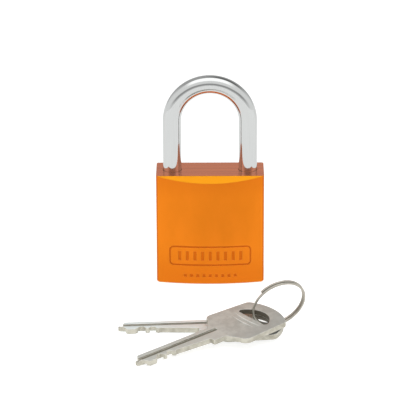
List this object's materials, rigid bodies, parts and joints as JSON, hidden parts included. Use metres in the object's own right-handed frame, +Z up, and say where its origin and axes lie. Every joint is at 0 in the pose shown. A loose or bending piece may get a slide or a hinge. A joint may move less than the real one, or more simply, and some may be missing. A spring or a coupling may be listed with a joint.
{
  "type": "safety padlock",
  "caption": "Keyed safety padlock: anodised aluminium body, chromed steel shackle, pin-tumbler cylinder with ball locking, and its keys on a split ring.",
  "frame": {"origin": "middle of the padlock body's bottom face, on the surface it stands on", "axes": "+Z up towards the shackle, +X along the body's width to the toe leg, the engraved front face looks along -Y and the keys lie in front of it"},
  "size_m": [0.0635, 0.0922, 0.0746],
  "materials": {
    "anodised_body": "satin anodised",
    "chromed_steel": "polished chrome",
    "bright_steel": "ground",
    "spring_steel": "drawn wire",
    "cylinder_brass": "machined",
    "pin_brass": "turned",
    "key_nickel_silver": "worn nickel silver",
    "ring_steel": "nickel plated"
  },
  "bodies": {
    "lock": {"lock_body": "anodised_body", "cylinder_housing": "cylinder_brass", "cylinder_screw": "bright_steel", "shackle_stop_pin": "bright_steel", "shackle_spring": "spring_steel", "driver_pin_1": "pin_brass", "driver_pin_2": "pin_brass", "driver_pin_3": "pin_brass", "driver_pin_4": "pin_brass", "driver_pin_5": "pin_brass", "pin_spring_1": "spring_steel", "pin_spring_2": "spring_steel", "pin_spring_3": "spring_steel", "pin_spring_4": "spring_steel", "pin_spring_5": "spring_steel", "chamber_plug_1": "pin_brass", "chamber_plug_2": "pin_brass", "chamber_plug_3": "pin_brass", "chamber_plug_4": "pin_brass", "chamber_plug_5": "pin_brass"},
    "shackle_body": {"shackle": "chromed_steel"},
    "plug_body": {"plug": "cylinder_brass", "cam": "bright_steel", "plug_clip": "spring_steel", "key_pin_1": "pin_brass", "key_pin_2": "pin_brass", "key_pin_3": "pin_brass", "key_pin_4": "pin_brass", "key_pin_5": "pin_brass"},
    "heel_ball_body": {"heel_ball": "bright_steel"},
    "toe_ball_body": {"toe_ball": "bright_steel"},
    "ring_body": {"split_ring": "ring_steel"},
    "front_key_body": {"front_key": "key_nickel_silver"},
    "rear_key_body": {"rear_key": "key_nickel_silver"}
  },
  "joints": [
    {"name": "plug_turn", "type": "hinge", "parent": "lock", "child": "plug_body", "pos_m": [0, 0, 0.013], "axis": [0, 0, 1], "range_deg": [0, 90]},
    {"name": "shackle_lift", "type": "slide", "parent": "lock", "child": "shackle_body", "axis": [0, 0, 1], "range_m": [0, 0.0105], "deforming": ["shackle_spring"]},
    {"name": "heel_ball_slide", "type": "slide", "parent": "lock", "child": "heel_ball_body", "axis": [1, 0, 0], "range_m": [0, 0.0026]},
    {"name": "toe_ball_slide", "type": "slide", "parent": "lock", "child": "toe_ball_body", "axis": [-1, 0, 0], "range_m": [0, 0.0026]},
    {"name": "ring_lift", "type": "slide", "parent": "lock", "child": "ring_body", "axis": [0, 0, 1], "range_m": [0, 0.1]},
    {"name": "front_key_fan", "type": "hinge", "parent": "ring_body", "child": "front_key_body", "pos_m": [0.0152, -0.0522, 0.004], "axis": [0, 0, 1], "range_deg": [-5, 5]},
    {"name": "rear_key_fan", "type": "hinge", "parent": "ring_body", "child": "rear_key_body", "pos_m": [0.0163, -0.0516, 0.0024], "axis": [0, 0, 1], "range_deg": [-4, 4]}
  ],
  "couplings": [
    {"joint": "plug_turn", "follows": "shackle_lift", "rad_per_m": 149.6},
    {"joint": "heel_ball_slide", "follows": "shackle_lift", "ratio": 0.24762},
    {"joint": "toe_ball_slide", "follows": "shackle_lift", "ratio": 0.24762}
  ]
}
